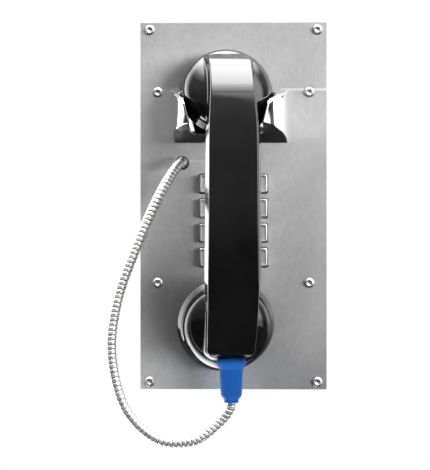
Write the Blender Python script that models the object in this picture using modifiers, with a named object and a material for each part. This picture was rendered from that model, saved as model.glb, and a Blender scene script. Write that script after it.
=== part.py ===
"""A vandal-resistant panel telephone: a flush stainless face plate with a chrome handset
cradle, a twelve-key metal keypad, an armoured cord and a bar-shaped handset.

Frame: metres, +X to the user's right, +Z up. The back of the face plate is the plane Y = 0,
so the user stands at -Y and the electronics sit at +Y. The origin is midway between the two
upper mounting holes. Heights in this file are measured from the plate's centre, and the last
step lowers everything so that the upper mounting holes come to Z = 0.
"""

import math

import bmesh
import bpy
from mathutils import Matrix, Vector

MM = 0.001
GAP = 0.3 * MM

# Face plate: 14 gauge stainless steel, 5 in wide
PLATE_WIDTH = 127.0 * MM
PLATE_HEIGHT = 250.0 * MM
PLATE_THICKNESS = 1.9 * MM
PLATE_CORNER = 0.7 * MM
FRONT = -PLATE_THICKNESS
MOUNT_HOLE_SPACING = (114.4 * MM, 240.0 * MM)
BOARD_HOLES_X = 51.7 * MM
BOARD_HOLES_Z = (77.4 * MM, -52.5 * MM)
SCREW_HOLE_RADIUS = 2.2 * MM

# Fasteners
SHANK_RADIUS = 1.7 * MM
HEAD_RADIUS = 3.45 * MM
HEAD_HEIGHT = 2.1 * MM

# Keypad
KEY_PITCH = 16.75 * MM
KEY_SIZE = 13.2 * MM
KEY_HEIGHT = 3.6 * MM
KEY_TRAVEL = 1.2 * MM
KEY_FLANGE = 15.4 * MM
KEY_OPENING = 13.9 * MM
KEYPAD_CENTRE_Z = -10.0 * MM
KEY_ROWS = (("1", "2", "3"), ("4", "5", "6"), ("7", "8", "9"), ("star", "0", "hash"))
FRAME_DEPTH = 4.5 * MM
STUD_X = 20.0 * MM
STUD_Z = 38.0 * MM
STUD_LENGTH = 11.0 * MM

# Cradle
CRADLE_X = -2.2 * MM
POCKET_X = -4.3 * MM
CRADLE_SCREW_X = 30.0 * MM
CRADLE_SCREW_Z = 66.0 * MM

# Hook lever and its switch, behind the plate
LEVER_PIVOT = Vector((CRADLE_X, 9.0 * MM, 50.0 * MM))
LEVER_WIDTH = 9.0 * MM
LEVER_PIN_RADIUS = 1.5 * MM
LEVER_SLOT_HALF_WIDTH = 5.6 * MM
LEVER_SLOT_Z = (49.5 * MM, 71.5 * MM)

# Handset, drawn hanging upright in front of the plate
HANDSET_X = -6.5 * MM
HANDSET_TWIST = math.radians(7.0)
CAP_TILT = {1: math.radians(26.0), -1: math.radians(20.0)}
CAP_DEPTH = 8.0 * MM
EAR_RADIUS = 31.7 * MM
EAR_SHOULDER = 2.2 * MM
EAR_CENTRE = (14.6 * MM, 74.3 * MM)
MOUTH_RADIUS = 32.9 * MM
MOUTH_SHOULDER = 4.0 * MM
MOUTH_CENTRE = (12.6 * MM, -79.6 * MM)
LIFT_DIRECTION = Vector((0.0, -math.cos(math.radians(50)), math.sin(math.radians(50))))

# Cord
CORD_RADIUS = 3.4 * MM
CORD_EXIT = (-35.0 * MM, 29.5 * MM)
BOOT_X = 1.4 * MM
BOOT_DEPTH = 33.0 * MM
BOOT_TOP = -101.4 * MM
BOOT_END = -131.0 * MM

# Electronics
STANDOFF_LENGTH = 32.0 * MM
BOARD_THICKNESS = 1.6 * MM
BOARD_SIZE = (112.0 * MM, 142.0 * MM)
BOARD_CENTRE_Z = (BOARD_HOLES_Z[0] + BOARD_HOLES_Z[1]) / 2

PARTS = None


# ---------------------------------------------------------------- materials
def finish(name, colour, roughness, metallic=0.0):
    material = bpy.data.materials.get(name) or bpy.data.materials.new(name)
    material.use_nodes = True
    shader = material.node_tree.nodes["Principled BSDF"]
    shader.inputs["Base Color"].default_value = (*colour, 1.0)
    shader.inputs["Roughness"].default_value = roughness
    shader.inputs["Metallic"].default_value = metallic
    return material


def brushed_steel():
    return finish("brushed_steel", (0.55, 0.55, 0.54), 0.35, 1.0)


def chrome():
    return finish("chrome", (0.78, 0.78, 0.79), 0.08, 1.0)


def zinc_plate():
    return finish("zinc_plate", (0.6, 0.6, 0.58), 0.4, 1.0)


def black_plastic():
    return finish("black_plastic", (0.012, 0.012, 0.013), 0.12)


def blue_rubber():
    return finish("blue_rubber", (0.02, 0.11, 0.42), 0.5)


def grey_silicone():
    return finish("grey_silicone", (0.25, 0.26, 0.27), 0.7)


def green_laminate():
    return finish("green_laminate", (0.02, 0.16, 0.07), 0.45)


def dark_component():
    return finish("dark_component", (0.03, 0.03, 0.035), 0.5)


def green_connector():
    return finish("green_connector", (0.03, 0.3, 0.1), 0.5)


# ---------------------------------------------------------------- modelling tools
def add_object(name, mesh, material):
    obj = bpy.data.objects.new(name, mesh)
    mesh.materials.clear()
    mesh.materials.append(material)
    PARTS.objects.link(obj)
    return obj


def from_bmesh(name, bm, material):
    mesh = bpy.data.meshes.new(name)
    bm.to_mesh(mesh)
    bm.free()
    return add_object(name, mesh, material)


def box(name, low, high, material, edge=0.0, axes="xyz"):
    """A block between two corners. Edges that run along the named axes are rounded."""
    low, high = Vector(low), Vector(high)
    bm = bmesh.new()
    bmesh.ops.create_cube(bm, size=1.0)
    size = Matrix.Diagonal((*(high - low), 1.0))
    bmesh.ops.transform(bm, matrix=Matrix.Translation((low + high) / 2) @ size, verts=bm.verts)
    if edge:
        rounded = []
        for e in bm.edges:
            along = e.verts[1].co - e.verts[0].co
            axis = "xyz"[max(range(3), key=lambda k: abs(along[k]))]
            if axis in axes:
                rounded.append(e)
        bmesh.ops.bevel(bm, geom=rounded, offset=edge, segments=2, profile=0.5, affect="EDGES")
    return from_bmesh(name, bm, material)


def cylinder(name, radius, start, end, material, sides=16):
    start, end = Vector(start), Vector(end)
    bm = bmesh.new()
    bmesh.ops.create_cone(bm, cap_ends=True, segments=sides, radius1=radius, radius2=radius,
                          depth=(end - start).length)
    turn = (end - start).to_track_quat("Z", "Y").to_matrix().to_4x4()
    bmesh.ops.transform(bm, matrix=Matrix.Translation((start + end) / 2) @ turn, verts=bm.verts)
    return from_bmesh(name, bm, material)


def hull(name, points, material):
    bm = bmesh.new()
    for point in points:
        bm.verts.new(point)
    made = bmesh.ops.convex_hull(bm, input=bm.verts)
    loose = set(made["geom_interior"] + made["geom_unused"])
    bmesh.ops.delete(bm, geom=[v for v in loose if isinstance(v, bmesh.types.BMVert)], context="VERTS")
    bmesh.ops.recalc_face_normals(bm, faces=bm.faces)
    return from_bmesh(name, bm, material)


def turned(name, profile, material, steps=24, closed=False):
    """A profile of (radius, height) points, down its outer side, turned about local Z."""
    bm = bmesh.new()
    verts = [bm.verts.new((radius, 0.0, height)) for radius, height in profile]
    for first, second in zip(verts, verts[1:]):
        bm.edges.new((first, second))
    if closed:
        bm.edges.new((verts[-1], verts[0]))
    obj = from_bmesh(name, bm, material)
    screw = obj.modifiers.new("turn", "SCREW")
    screw.steps = screw.render_steps = steps
    screw.use_merge_vertices = True
    screw.merge_threshold = 0.00001
    bake(obj)
    return obj


def extruded(name, outline, half_thickness, material):
    """A flat outline in the local XY plane, thickened both ways along local Z."""
    curve = bpy.data.curves.new(name, "CURVE")
    curve.dimensions = "2D"
    curve.fill_mode = "BOTH"
    curve.extrude = half_thickness
    spline = curve.splines.new("POLY")
    spline.points.add(len(outline) - 1)
    spline.use_cyclic_u = True
    for point, (x, y) in zip(spline.points, outline):
        point.co = (x, y, 0.0, 1.0)
    return curve_to_mesh(name, curve, material)


def tube(name, points, radius, material, resolution=2):
    curve = bpy.data.curves.new(name, "CURVE")
    curve.dimensions = "3D"
    curve.bevel_depth = radius
    curve.bevel_resolution = resolution
    curve.use_fill_caps = True
    spline = curve.splines.new("POLY")
    spline.points.add(len(points) - 1)
    for point, place in zip(spline.points, points):
        point.co = (*place, 1.0)
    return curve_to_mesh(name, curve, material)


def curve_to_mesh(name, curve, material):
    helper = bpy.data.objects.new(name + "_curve", curve)
    PARTS.objects.link(helper)
    graph = bpy.context.evaluated_depsgraph_get()
    mesh = bpy.data.meshes.new_from_object(helper.evaluated_get(graph))
    bpy.data.objects.remove(helper)
    bpy.data.curves.remove(curve)
    bm = bmesh.new()
    bm.from_mesh(mesh)
    bmesh.ops.remove_doubles(bm, verts=bm.verts, dist=0.000001)
    bmesh.ops.recalc_face_normals(bm, faces=bm.faces)
    bm.to_mesh(mesh)
    bm.free()
    return add_object(name, mesh, material)


def loft(name, sections, material):
    """A skin over closed sections that all have the same number of points."""
    bm = bmesh.new()
    rings = [[bm.verts.new(point) for point in section] for section in sections]
    count = len(rings[0])
    for below, above in zip(rings, rings[1:]):
        for k in range(count):
            after = (k + 1) % count
            bm.faces.new((below[k], below[after], above[after], above[k]))
    bm.faces.new(list(reversed(rings[0])))
    bm.faces.new(rings[-1])
    bmesh.ops.recalc_face_normals(bm, faces=bm.faces)
    return from_bmesh(name, bm, material)


def bake(obj):
    """Replaces an object's mesh by its evaluated one, and clears its modifiers."""
    graph = bpy.context.evaluated_depsgraph_get()
    mesh = bpy.data.meshes.new_from_object(obj.evaluated_get(graph))
    old = obj.data
    obj.modifiers.clear()
    obj.data = mesh
    bpy.data.meshes.remove(old)
    mesh.name = obj.name


def combine(target, tool, operation):
    """Cuts or joins with a Boolean, bakes the result and removes the tool."""
    boolean = target.modifiers.new(operation.lower(), "BOOLEAN")
    boolean.operation = operation
    boolean.solver = "EXACT"
    boolean.object = tool
    bpy.context.view_layer.update()
    bake(target)
    bpy.data.objects.remove(tool)


def cut(target, *tools):
    for tool in tools:
        combine(target, tool, "DIFFERENCE")


def fuse(target, *tools):
    for tool in tools:
        combine(target, tool, "UNION")


def smooth(*objects):
    for obj in objects:
        obj.data.shade_smooth()
        obj.data.set_sharp_from_angle(angle=math.radians(32))


def rounded_polygon(corners, radii, steps):
    """The corners of a convex outline, each replaced by an arc of its radius."""
    outline = []
    count = len(corners)
    for k, (corner, radius) in enumerate(zip(corners, radii)):
        corner = Vector(corner)
        before = (Vector(corners[k - 1]) - corner).normalized()
        after = (Vector(corners[(k + 1) % count]) - corner).normalized()
        half = before.angle(after) / 2
        centre = corner + (before + after).normalized() * radius / math.sin(half)
        first = corner + before * radius / math.tan(half) - centre
        last = corner + after * radius / math.tan(half) - centre
        sweep = math.atan2(first.x * last.y - first.y * last.x, first.dot(last))
        for step in range(steps + 1):
            turn = Matrix.Rotation(sweep * step / steps, 2)
            outline.append(centre + turn @ first)
    return outline


def through_points(points, per_span):
    """A Catmull-Rom curve through the points."""
    points = [Vector(p) for p in points]
    padded = [2 * points[0] - points[1], *points, 2 * points[-1] - points[-2]]
    made = []
    for k in range(1, len(padded) - 2):
        a, b, c, d = padded[k - 1:k + 3]
        for step in range(per_span):
            t = step / per_span
            made.append(0.5 * (2 * b + (c - a) * t + (2 * a - 5 * b + 4 * c - d) * t * t
                               + (3 * b - a - 3 * c + d) * t ** 3))
    return made + [points[-1]]


# ---------------------------------------------------------------- fasteners
def panel_screw(name, x, z, length):
    """A tamper-proof button-head screw, driven from the front: socket with a centre pin."""
    socket, pin, floor = 1.55 * MM, 0.55 * MM, 0.7 * MM
    profile = [(0.0, HEAD_HEIGHT - 0.5 * MM), (pin, HEAD_HEIGHT - 0.5 * MM), (pin, floor),
               (socket, floor), (socket, HEAD_HEIGHT), (2.4 * MM, 1.8 * MM), (3.15 * MM, 1.1 * MM),
               (HEAD_RADIUS, 0.0), (SHANK_RADIUS, 0.0), (SHANK_RADIUS, -length), (0.0, -length)]
    obj = turned(name, profile, chrome(), steps=12)
    obj.location = (x, FRONT - GAP / 3, z)
    obj.rotation_euler = (math.radians(90), 0.0, 0.0)
    smooth(obj)
    return obj


def rear_screw(name, x, y, z, length):
    """A plain pan-head screw, driven from behind towards -Y, with its head on the plane y."""
    profile = [(0.0, 1.9 * MM), (2.0 * MM, 1.7 * MM), (3.0 * MM, 0.0), (1.45 * MM, 0.0),
               (1.45 * MM, -length), (0.0, -length)]
    obj = turned(name, profile, zinc_plate(), steps=12)
    obj.location = (x, y, z)
    obj.rotation_euler = (math.radians(-90), 0.0, 0.0)
    smooth(obj)
    return obj


def hex_sleeve(name, across, bore, x, z, y_start, y_end, material):
    """A hexagonal spacer or nut along Y with a round bore."""
    obj = cylinder(name, across / 2 / math.cos(math.radians(30)), (x, y_start, z), (x, y_end, z),
                   material, sides=6)
    cut(obj, cylinder("bore", bore, (x, y_start - MM, z), (x, y_end + MM, z), material, sides=12))
    return obj


def build_fasteners():
    half_x, half_z = MOUNT_HOLE_SPACING[0] / 2, MOUNT_HOLE_SPACING[1] / 2
    corners = (("top_left", -1, 1), ("top_right", 1, 1), ("bottom_left", -1, -1), ("bottom_right", 1, -1))
    board_back = STANDOFF_LENGTH + BOARD_THICKNESS + 3 * GAP
    for label, side, level in corners:
        panel_screw("mounting_screw_" + label, side * half_x, level * half_z, 14 * MM)
        x, z = side * BOARD_HOLES_X, BOARD_HOLES_Z[0 if level > 0 else 1]
        panel_screw("panel_screw_" + label, x, z, 10 * MM)
        hex_sleeve("standoff_" + label, 6.4 * MM, SHANK_RADIUS + 0.1 * MM, x, z,
                   GAP, GAP + STANDOFF_LENGTH, zinc_plate())
        rear_screw("board_screw_" + label, x, board_back, z, 9 * MM)


# ---------------------------------------------------------------- face plate
def key_places():
    for row, labels in enumerate(KEY_ROWS):
        for column, label in enumerate(labels):
            yield label, (column - 1) * KEY_PITCH, KEYPAD_CENTRE_Z + (1.5 - row) * KEY_PITCH


def stud_places():
    for label, side, level in (("top_left", -1, 1), ("top_right", 1, 1),
                               ("bottom_left", -1, -1), ("bottom_right", 1, -1)):
        yield label, side * STUD_X, KEYPAD_CENTRE_Z + level * STUD_Z


def build_face_plate():
    steel = brushed_steel()
    half_w, half_h = PLATE_WIDTH / 2, PLATE_HEIGHT / 2
    plate = box("face_plate", (-half_w, FRONT, -half_h), (half_w, 0.0, half_h), steel,
                edge=PLATE_CORNER, axes="y")

    def drill(x, z, radius, sides=12):
        cut(plate, cylinder("drill", radius, (x, FRONT - MM, z), (x, MM, z), steel, sides))

    for side in (-1, 1):
        for level in (-1, 1):
            drill(side * MOUNT_HOLE_SPACING[0] / 2, level * MOUNT_HOLE_SPACING[1] / 2, SCREW_HOLE_RADIUS)
        for z in BOARD_HOLES_Z:
            drill(side * BOARD_HOLES_X, z, SCREW_HOLE_RADIUS)
        drill(CRADLE_X + side * CRADLE_SCREW_X, CRADLE_SCREW_Z, 2.0 * MM)
    drill(*CORD_EXIT, 4.9 * MM, sides=24)
    half = KEY_OPENING / 2
    for _, x, z in key_places():
        cut(plate, box("opening", (x - half, FRONT - MM, z - half), (x + half, MM, z + half),
                       steel, edge=1.2 * MM, axes="y"))
    cut(plate, box("slot", (CRADLE_X - LEVER_SLOT_HALF_WIDTH, FRONT - MM, LEVER_SLOT_Z[0]),
                   (CRADLE_X + LEVER_SLOT_HALF_WIDTH, MM, LEVER_SLOT_Z[1]), steel))
    for _, x, z in stud_places():
        fuse(plate, cylinder("stud", 1.4 * MM, (x, -0.8 * MM, z), (x, STUD_LENGTH, z), steel, 12))


# ---------------------------------------------------------------- keypad
def key_mesh(material):
    """One key: bevelled cap, retaining flange behind the plate, and the stem that presses."""
    half, flange = KEY_SIZE / 2, KEY_FLANGE / 2
    top = FRONT - KEY_HEIGHT
    key = box("key_shape", (-half, top + 0.9 * MM, -half), (half, 1.0 * MM, half), material,
              edge=1.0 * MM, axes="y")
    bm = bmesh.new()
    bm.from_mesh(key.data)
    face = min(bm.faces, key=lambda f: f.calc_center_median().y)
    made = bmesh.ops.extrude_discrete_faces(bm, faces=[face])["faces"][0]
    shrink = Matrix.Diagonal((1 - 1.5 * MM / half, 1.0, 1 - 1.5 * MM / half, 1.0))
    bmesh.ops.transform(bm, matrix=Matrix.Translation((0, -0.9 * MM, 0)) @ shrink, verts=made.verts)
    bm.to_mesh(key.data)
    bm.free()
    fuse(key, box("flange", (-flange, GAP, -flange), (flange, 1.5 * MM, flange), material),
         cylinder("stem", 2.8 * MM, (0, 1.2 * MM, 0), (0, 2.0 * MM, 0), material, 8))
    mesh = key.data.copy()
    bpy.data.objects.remove(key)
    return mesh


def build_keypad():
    mesh = key_mesh(chrome())
    for label, x, z in key_places():
        key = add_object("key_" + label, mesh, chrome())
        key.location = (x, 0.0, z)

    z0 = KEYPAD_CENTRE_Z
    outer_x, outer_z, inner_x, inner_z = 28.2 * MM, 42 * MM, 25.2 * MM, 33.6 * MM
    frame = box("keypad_frame", (-outer_x, GAP, z0 - outer_z), (outer_x, FRAME_DEPTH, z0 + outer_z),
                black_plastic(), edge=2 * MM, axes="y")
    cut(frame, box("well", (-inner_x, -MM, z0 - inner_z), (inner_x, 10 * MM, z0 + inner_z),
                   black_plastic()))

    sheet_back = FRAME_DEPTH + GAP + 1.0 * MM
    sheet = box("keypad_membrane", (-outer_x, FRAME_DEPTH + GAP, z0 - outer_z),
                (outer_x, sheet_back, z0 + outer_z), grey_silicone())
    for _, x, z in key_places():
        fuse(sheet, cylinder("dome", 4.2 * MM, (x, 3.5 * MM, z), (x, sheet_back - 0.3 * MM, z),
                             grey_silicone(), 8))

    board_front = sheet_back + GAP
    board_back = board_front + BOARD_THICKNESS
    board = box("keypad_board", (-outer_x, board_front, z0 - outer_z),
                (outer_x, board_back, z0 + outer_z), green_laminate())
    for label, x, z in stud_places():
        for sheet_part in (frame, sheet, board):
            cut(sheet_part, cylinder("stud_hole", 1.8 * MM, (x, -MM, z), (x, 12 * MM, z),
                                     zinc_plate(), 10))
        hex_sleeve("keypad_nut_" + label, 5.4 * MM, 1.6 * MM, x, z,
                   board_back + GAP, board_back + GAP + 2.2 * MM, zinc_plate())

    header_back = board_back + GAP + 7 * MM
    box("keypad_header", (-13 * MM, board_back + GAP, z0 - 22 * MM),
        (13 * MM, header_back, z0 - 16 * MM), dark_component())
    ribbon_z, ribbon_end = z0 - 19 * MM, STANDOFF_LENGTH
    ribbon_start = header_back + GAP
    middle = (ribbon_start + ribbon_end) / 2
    path = through_points([(ribbon_start, ribbon_z), (middle, ribbon_z + 9 * MM),
                           (ribbon_end, ribbon_z)], 6)
    thick = 0.4 * MM
    outline = [(p.x, p.y + thick) for p in path] + [(p.x, p.y - thick) for p in reversed(path)]
    ribbon = extruded("keypad_ribbon", outline, 11 * MM, dark_component())
    ribbon.rotation_euler = (math.radians(90), 0.0, math.radians(90))


# ---------------------------------------------------------------- cradle
def cap_axis(up):
    """From a cap's face towards its back: away from the wall, and towards the handset's end."""
    return Vector((0.0, -math.cos(CAP_TILT[up]), up * math.sin(CAP_TILT[up])))


def in_handset(obj):
    obj.parent = bpy.data.objects["handset_hang"]
    return obj


def lean(obj, place, up):
    """Turns a piece drawn up local Z onto a cap's axis."""
    obj.location = place
    obj.rotation_euler = (math.radians(90) - up * CAP_TILT[up], 0.0, 0.0)
    bpy.context.view_layer.update()
    return obj


def on_cap(obj, centre, up, shift=Vector()):
    out, height = centre
    in_handset(obj)
    return lean(obj, Vector((0.0, FRONT - out, height)) + shift, up)


def ear_cap_way_out(material):
    """The space that the ear cap and the dome behind it sweep as the handset is lifted off."""
    room = EAR_RADIUS + 0.4 * MM
    profile = [(0.0, 30 * MM), (room - 15 * MM, 27 * MM), (room - 6 * MM, 20 * MM),
               (room, CAP_DEPTH + 2 * MM), (room, -0.5 * MM), (0.0, -0.5 * MM)]
    swept = []
    for shift in (Vector(), LIFT_DIRECTION * 50 * MM):
        room_here = on_cap(turned("room", profile, material, steps=48), EAR_CENTRE, 1, shift)
        swept += [room_here.matrix_world @ v.co for v in room_here.data.vertices]
        bpy.data.objects.remove(room_here)
    return hull("cap_room", swept, material)


def cradle_sections():
    """Out from the plate, middle, half width below and above, bottom and top, in mm."""
    return [(0, -1.5, 38.5, 38.5, 43.0, 79.2), (11.8, -2.3, 38.0, 38.0, 46.0, 77.0),
            (22.5, -3.1, 36.0, 36.0, 49.0, 74.6), (31, -3.8, 32.8, 33.2, 51.5, 72.2),
            (36, -4.1, 29.6, 31.5, 53.0, 70.2), (40, -4.4, 25.0, 28.5, 54.0, 67.4)]


def build_cradle():
    """A plated casting: a rounded block that tapers forward, open in the middle."""
    metal = chrome()
    back = FRONT - GAP

    def at(x, out, z):
        return Vector((CRADLE_X + x, back - out, z))

    block = []
    for out, middle, low_half, high_half, low, high in cradle_sections():
        for side in (-1, 1):
            block += [Vector(((middle + side * low_half) * MM, back - out * MM, low * MM)),
                      Vector(((middle + side * high_half) * MM, back - out * MM, high * MM))]
    cradle = hull("cradle", block, metal)

    # an open channel between the horns, and room for the ear cap all along its way out
    wedge = []
    for side in (-1, 1):
        for half, up in ((15.4 * MM, -60 * MM), (28.8 * MM, -12 * MM)):
            wedge += [(side * half, up, 60 * MM), (side * half, up, -4 * MM),
                      (side * (half - 5 * MM), up, -9 * MM)]
    channel = hull("channel", wedge, metal)
    upper = box("upper", (-25 * MM, -20 * MM, -9 * MM), (25 * MM, 40 * MM, 60 * MM), metal)
    fuse(channel, upper)
    lean(channel, Vector((POCKET_X, back - EAR_CENTRE[0], EAR_CENTRE[1])), 1)
    cut(cradle, channel)
    cut(cradle, box("slot", at(-LEVER_SLOT_HALF_WIDTH, 20 * MM, LEVER_SLOT_Z[0]),
                    at(LEVER_SLOT_HALF_WIDTH, -MM, LEVER_SLOT_Z[1]), metal))
    cut(cradle, ear_cap_way_out(metal))
    for side, label in ((-1, "left"), (1, "right")):
        x = CRADLE_X + side * CRADLE_SCREW_X
        cut(cradle, cylinder("tapped", 1.6 * MM, (x, MM, CRADLE_SCREW_Z),
                             (x, back - 7 * MM, CRADLE_SCREW_Z), metal, 12))
        rear_screw("cradle_screw_" + label, x, 1.5 * MM + 2 * GAP, CRADLE_SCREW_Z, 9 * MM)
    smooth(cradle)


# ---------------------------------------------------------------- hook switch
def build_hook_switch():
    pivot = LEVER_PIVOT
    half = LEVER_WIDTH / 2
    hub = 4.0 * MM
    around = [(hub * math.cos(math.radians(a)), hub * math.sin(math.radians(a)))
              for a in range(-45, 61, 15)]
    # local X is depth from the pivot, local Y is height above it; the tongue lies on the cap
    outline = around + [(-5 * MM, 9 * MM), (-18 * MM, 16.2 * MM), (-25.0 * MM, 20.2 * MM),
                        (-26.7 * MM, 19.4 * MM), (-26.2 * MM, 16.0 * MM), (-20 * MM, 10.0 * MM),
                        (-6 * MM, 1.5 * MM), (-1.5 * MM, -4 * MM), (1.2 * MM, -14 * MM),
                        (4.0 * MM, -14 * MM)]
    lever = extruded("hook_lever", outline, half, black_plastic())
    lever.location = pivot
    lever.rotation_euler = (math.radians(90), 0.0, math.radians(90))
    bpy.context.view_layer.update()
    pin_reach = 9.5 * MM
    pin_ends = [pivot + Vector((side * pin_reach, 0, 0)) for side in (-1, 1)]
    cut(lever, cylinder("bore", LEVER_PIN_RADIUS + 0.1 * MM, *pin_ends, black_plastic(), 20))
    cylinder("lever_pin", LEVER_PIN_RADIUS, *pin_ends, zinc_plate(), 20)

    metal = zinc_plate()
    wall, ear_x = 1.2 * MM, 6.5 * MM
    y_plate = 1.5 * MM
    bracket = box("lever_bracket", (CRADLE_X - 35 * MM, GAP, 60.5 * MM),
                  (CRADLE_X + 35 * MM, y_plate, 72 * MM), metal)
    for side in (-1, 1):
        inner, outer = sorted((CRADLE_X + side * ear_x, CRADLE_X + side * (ear_x + wall)))
        fuse(bracket, box("ear", (inner, GAP + 0.2 * MM, 36 * MM), (outer, 15 * MM, 71 * MM), metal))
    fuse(bracket, box("seat", (CRADLE_X - ear_x - 0.5 * MM, GAP + 0.1 * MM, 37.1 * MM),
                      (CRADLE_X + ear_x + 0.5 * MM, y_plate, 42.5 * MM), metal),
         box("switch_tab", (CRADLE_X + ear_x + 0.1 * MM, 14 * MM, 36.2 * MM),
             (CRADLE_X + ear_x + wall - 0.1 * MM, 28 * MM, 50 * MM), metal))
    cut(bracket, cylinder("pin_hole", LEVER_PIN_RADIUS + 0.1 * MM, *pin_ends, metal, 20),
        box("slot", (CRADLE_X - ear_x - 0.05 * MM, -MM, 43 * MM),
            (CRADLE_X + ear_x + 0.05 * MM, 3 * MM, 80 * MM), metal))
    for side in (-1, 1):
        x = CRADLE_X + side * CRADLE_SCREW_X
        cut(bracket, cylinder("hole", 2.0 * MM, (x, -MM, CRADLE_SCREW_Z), (x, 5 * MM, CRADLE_SCREW_Z),
                              metal, 12))

    # the coil pushes the lever's tail back, which swings the tongue forward
    coils, coil_radius, wire = 5, 2.3 * MM, 0.32 * MM
    start, end = y_plate + wire + 0.1 * MM, pivot.y + 0.1 * MM
    spring_z = 39.6 * MM
    points = []
    for step in range(coils * 12 + 1):
        turn = 2 * math.pi * step / 12
        points.append((CRADLE_X + coil_radius * math.cos(turn), start + (end - start) * step / (coils * 12),
                       spring_z + coil_radius * math.sin(turn)))
    tube("lever_spring", points, wire, zinc_plate(), resolution=0)

    plunger_z = 38.0 * MM
    switch_front = 18.0 * MM
    switch = box("hook_switch", (CRADLE_X - ear_x, switch_front, 33 * MM),
                 (CRADLE_X + ear_x - GAP, 28 * MM, 50 * MM), dark_component(), edge=0.6 * MM)
    cut(switch, cylinder("plunger_bore", 1.9 * MM, (CRADLE_X, 17 * MM, plunger_z),
                         (CRADLE_X, 23.5 * MM, plunger_z), dark_component(), 16))
    tail = pivot.y + 4.0 * MM
    cylinder("switch_plunger", 1.6 * MM, (CRADLE_X, tail + 0.8 * MM, plunger_z),
             (CRADLE_X, 20.8 * MM, plunger_z), grey_silicone(), 16)


# ---------------------------------------------------------------- handset
def handle_sections():
    """Height, inner and outer distance from the wall, inner and outer half width, in mm."""
    stations = [(-100.6, 22, 33, 15, 14.2), (-98.6, 21.5, 40, 15.8, 15.4), (-94, 21, 46.2, 16.6, 16),
                (-88, 22, 50.2, 17.4, 16.3), (-78, 26.6, 55.4, 18.3, 16.5), (-66, 32.4, 60, 19.6, 16.6),
                (-52, 39.2, 63, 19.9, 16.6), (-34, 42.3, 64.8, 19, 16.4), (0, 43, 65.6, 18.3, 16.2),
                (34, 41, 64.8, 18.1, 16), (52, 37.5, 63, 18.6, 15.8), (66, 30, 60.3, 18.2, 15.6),
                (76, 25, 56.4, 17.3, 15.4), (85, 22.5, 50.4, 16.6, 15.3), (92, 21, 43.5, 16, 15.2),
                (96.5, 20.5, 36, 15.6, 15), (98.3, 20.5, 30, 15.2, 14.6)]
    path = through_points([Vector((z, inner, outer)) for z, inner, outer, _, _ in stations], 2)
    widths = through_points([Vector((z, inner, outer)) for z, _, _, inner, outer in stations], 2)
    for (z, inner, outer), (_, inner_half, outer_half) in zip(path, widths):
        corners = [(-inner_half, inner), (inner_half, inner), (outer_half, outer), (-outer_half, outer)]
        outline = rounded_polygon(corners, (5, 5, 1.8, 1.8), 3)
        yield [Vector((x * MM, FRONT - out * MM, z * MM)) for x, out in outline]


def cup_profile(dome):
    """The threaded collar that the cap screws onto, and the dome behind it."""
    collar = dome - 0.6 * MM
    return [(0.0, 25 * MM), (dome - 15.4 * MM, 23 * MM), (dome - 7.9 * MM, 19 * MM),
            (dome - 2.8 * MM, 14.5 * MM), (dome - 0.4 * MM, 10.5 * MM),
            (dome, CAP_DEPTH + GAP), (collar, CAP_DEPTH + GAP), (collar, 3 * MM), (0.0, 3 * MM)]


def cap_profile(radius, dome):
    inner = dome - 0.2 * MM
    return [(0.0, 2.2 * MM), (inner, 2.2 * MM), (inner, CAP_DEPTH), (dome + 0.3 * MM, CAP_DEPTH),
            (radius, 1.5 * MM), (radius - 1.0 * MM, 0.0), (0.0, 0.0)]


def cap(name, radius, dome, centre, up, hole_ring):
    made = on_cap(turned(name, cap_profile(radius, dome), black_plastic(), steps=36), centre, up)
    for k in range(7):
        reach = hole_ring if k else 0.0
        angle = math.radians(60 * k)
        x, y = reach * math.cos(angle), reach * math.sin(angle)
        hole = cylinder("hole", 1.2 * MM, (0, 0, -MM), (0, 0, 4 * MM), black_plastic(), 8)
        hole.data.transform(Matrix.Translation((x, y, 0)))
        cut(made, on_cap(hole, centre, up))
    smooth(made)


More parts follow.
